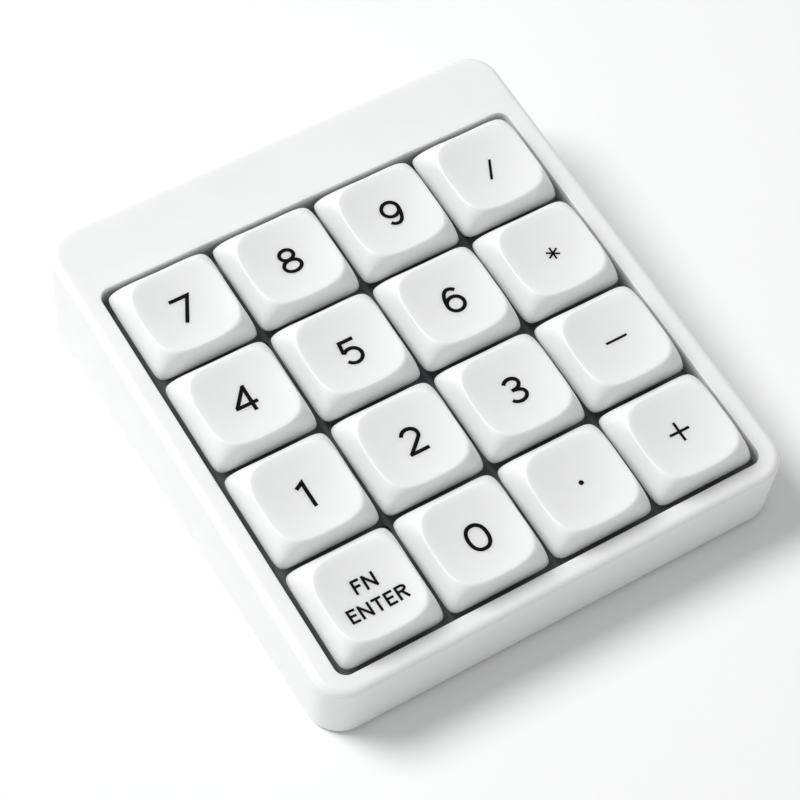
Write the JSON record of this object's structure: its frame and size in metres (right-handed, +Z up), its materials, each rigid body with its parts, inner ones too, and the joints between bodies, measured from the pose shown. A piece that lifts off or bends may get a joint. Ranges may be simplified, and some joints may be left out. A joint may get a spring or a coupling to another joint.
{
  "type": "numeric keypad",
  "caption": "Wedge-shaped desktop numeric keypad with a white case, a plain top behind the key field and dished low-profile keycaps on sprung key switches.",
  "frame": {"origin": "middle of the overall footprint, on the desk under the rubber feet", "axes": "+X to the typist's right, +Y away from the typist towards the USB inlet, +Z up; the key field rises 5 degrees towards +Y"},
  "size_m": [0.0848, 0.0954, 0.0248],
  "materials": {
    "case_plastic": "fine satin moulded texture, near white",
    "keycap_plastic": "smooth satin, near white",
    "legend_ink": "printed black characters",
    "plate_metal": "matt blue-grey powder coat",
    "board_laminate": "dark green solder mask",
    "switch_housing": "black nylon",
    "switch_cover": "dark grey nylon",
    "plunger_plastic": "grey acetal",
    "spring_steel": "bright drawn wire",
    "contact_metal": "stamped leaf",
    "socket_plastic": "black moulding",
    "chip_package": "black moulded package",
    "connector_steel": "bright nickel",
    "screw_steel": "black zinc",
    "foot_rubber": "matt dark grey"
  },
  "bodies": {
    "case": {"top_case": "case_plastic", "bottom_case": "case_plastic", "switch_plate": "plate_metal", "circuit_board": "board_laminate", "switch_bases": "switch_housing", "switch_covers": "switch_cover", "contact_leaves": "contact_metal", "switch_sockets": "socket_plastic", "board_components": "chip_package", "usb_receptacle": "connector_steel", "case_screws": "screw_steel", "rubber_feet": "foot_rubber", "spring_7": "spring_steel", "spring_8": "spring_steel", "spring_9": "spring_steel", "spring_divide": "spring_steel", "spring_4": "spring_steel", "spring_5": "spring_steel", "spring_6": "spring_steel", "spring_multiply": "spring_steel", "spring_1": "spring_steel", "spring_2": "spring_steel", "spring_3": "spring_steel", "spring_minus": "spring_steel", "spring_enter": "spring_steel", "spring_0": "spring_steel", "spring_point": "spring_steel", "spring_plus": "spring_steel"},
    "key_7": {"keycap_7": "keycap_plastic", "plunger_7": "plunger_plastic"},
    "key_8": {"keycap_8": "keycap_plastic", "plunger_8": "plunger_plastic"},
    "key_9": {"keycap_9": "keycap_plastic", "plunger_9": "plunger_plastic"},
    "key_divide": {"keycap_divide": "keycap_plastic", "plunger_divide": "plunger_plastic"},
    "key_4": {"keycap_4": "keycap_plastic", "plunger_4": "plunger_plastic"},
    "key_5": {"keycap_5": "keycap_plastic", "plunger_5": "plunger_plastic"},
    "key_6": {"keycap_6": "keycap_plastic", "plunger_6": "plunger_plastic"},
    "key_multiply": {"keycap_multiply": "keycap_plastic", "plunger_multiply": "plunger_plastic"},
    "key_1": {"keycap_1": "keycap_plastic", "plunger_1": "plunger_plastic"},
    "key_2": {"keycap_2": "keycap_plastic", "plunger_2": "plunger_plastic"},
    "key_3": {"keycap_3": "keycap_plastic", "plunger_3": "plunger_plastic"},
    "key_minus": {"keycap_minus": "keycap_plastic", "plunger_minus": "plunger_plastic"},
    "key_enter": {"keycap_enter": "keycap_plastic", "plunger_enter": "plunger_plastic"},
    "key_0": {"keycap_0": "keycap_plastic", "plunger_0": "plunger_plastic"},
    "key_point": {"keycap_point": "keycap_plastic", "plunger_point": "plunger_plastic"},
    "key_plus": {"keycap_plus": "keycap_plastic", "plunger_plus": "plunger_plastic"}
  },
  "joints": [
    {"name": "press_7", "type": "slide", "parent": "case", "child": "key_7", "axis": [0, 0.0872, -0.9962], "range_m": [0, 0.003], "stiffness_N_per_m": 120, "springref_m": -0.0026, "deforming": ["spring_7"]},
    {"name": "press_8", "type": "slide", "parent": "case", "child": "key_8", "axis": [0, 0.0872, -0.9962], "range_m": [0, 0.003], "stiffness_N_per_m": 120, "springref_m": -0.0026, "deforming": ["spring_8"]},
    {"name": "press_9", "type": "slide", "parent": "case", "child": "key_9", "axis": [0, 0.0872, -0.9962], "range_m": [0, 0.003], "stiffness_N_per_m": 120, "springref_m": -0.0026, "deforming": ["spring_9"]},
    {"name": "press_divide", "type": "slide", "parent": "case", "child": "key_divide", "axis": [0, 0.0872, -0.9962], "range_m": [0, 0.003], "stiffness_N_per_m": 120, "springref_m": -0.0026, "deforming": ["spring_divide"]},
    {"name": "press_4", "type": "slide", "parent": "case", "child": "key_4", "axis": [0, 0.0872, -0.9962], "range_m": [0, 0.003], "stiffness_N_per_m": 120, "springref_m": -0.0026, "deforming": ["spring_4"]},
    {"name": "press_5", "type": "slide", "parent": "case", "child": "key_5", "axis": [0, 0.0872, -0.9962], "range_m": [0, 0.003], "stiffness_N_per_m": 120, "springref_m": -0.0026, "deforming": ["spring_5"]},
    {"name": "press_6", "type": "slide", "parent": "case", "child": "key_6", "axis": [0, 0.0872, -0.9962], "range_m": [0, 0.003], "stiffness_N_per_m": 120, "springref_m": -0.0026, "deforming": ["spring_6"]},
    {"name": "press_multiply", "type": "slide", "parent": "case", "child": "key_multiply", "axis": [0, 0.0872, -0.9962], "range_m": [0, 0.003], "stiffness_N_per_m": 120, "springref_m": -0.0026, "deforming": ["spring_multiply"]},
    {"name": "press_1", "type": "slide", "parent": "case", "child": "key_1", "axis": [0, 0.0872, -0.9962], "range_m": [0, 0.003], "stiffness_N_per_m": 120, "springref_m": -0.0026, "deforming": ["spring_1"]},
    {"name": "press_2", "type": "slide", "parent": "case", "child": "key_2", "axis": [0, 0.0872, -0.9962], "range_m": [0, 0.003], "stiffness_N_per_m": 120, "springref_m": -0.0026, "deforming": ["spring_2"]},
    {"name": "press_3", "type": "slide", "parent": "case", "child": "key_3", "axis": [0, 0.0872, -0.9962], "range_m": [0, 0.003], "stiffness_N_per_m": 120, "springref_m": -0.0026, "deforming": ["spring_3"]},
    {"name": "press_minus", "type": "slide", "parent": "case", "child": "key_minus", "axis": [0, 0.0872, -0.9962], "range_m": [0, 0.003], "stiffness_N_per_m": 120, "springref_m": -0.0026, "deforming": ["spring_minus"]},
    {"name": "press_enter", "type": "slide", "parent": "case", "child": "key_enter", "axis": [0, 0.0872, -0.9962], "range_m": [0, 0.003], "stiffness_N_per_m": 120, "springref_m": -0.0026, "deforming": ["spring_enter"]},
    {"name": "press_0", "type": "slide", "parent": "case", "child": "key_0", "axis": [0, 0.0872, -0.9962], "range_m": [0, 0.003], "stiffness_N_per_m": 120, "springref_m": -0.0026, "deforming": ["spring_0"]},
    {"name": "press_point", "type": "slide", "parent": "case", "child": "key_point", "axis": [0, 0.0872, -0.9962], "range_m": [0, 0.003], "stiffness_N_per_m": 120, "springref_m": -0.0026, "deforming": ["spring_point"]},
    {"name": "press_plus", "type": "slide", "parent": "case", "child": "key_plus", "axis": [0, 0.0872, -0.9962], "range_m": [0, 0.003], "stiffness_N_per_m": 120, "springref_m": -0.0026, "deforming": ["spring_plus"]}
  ]
}
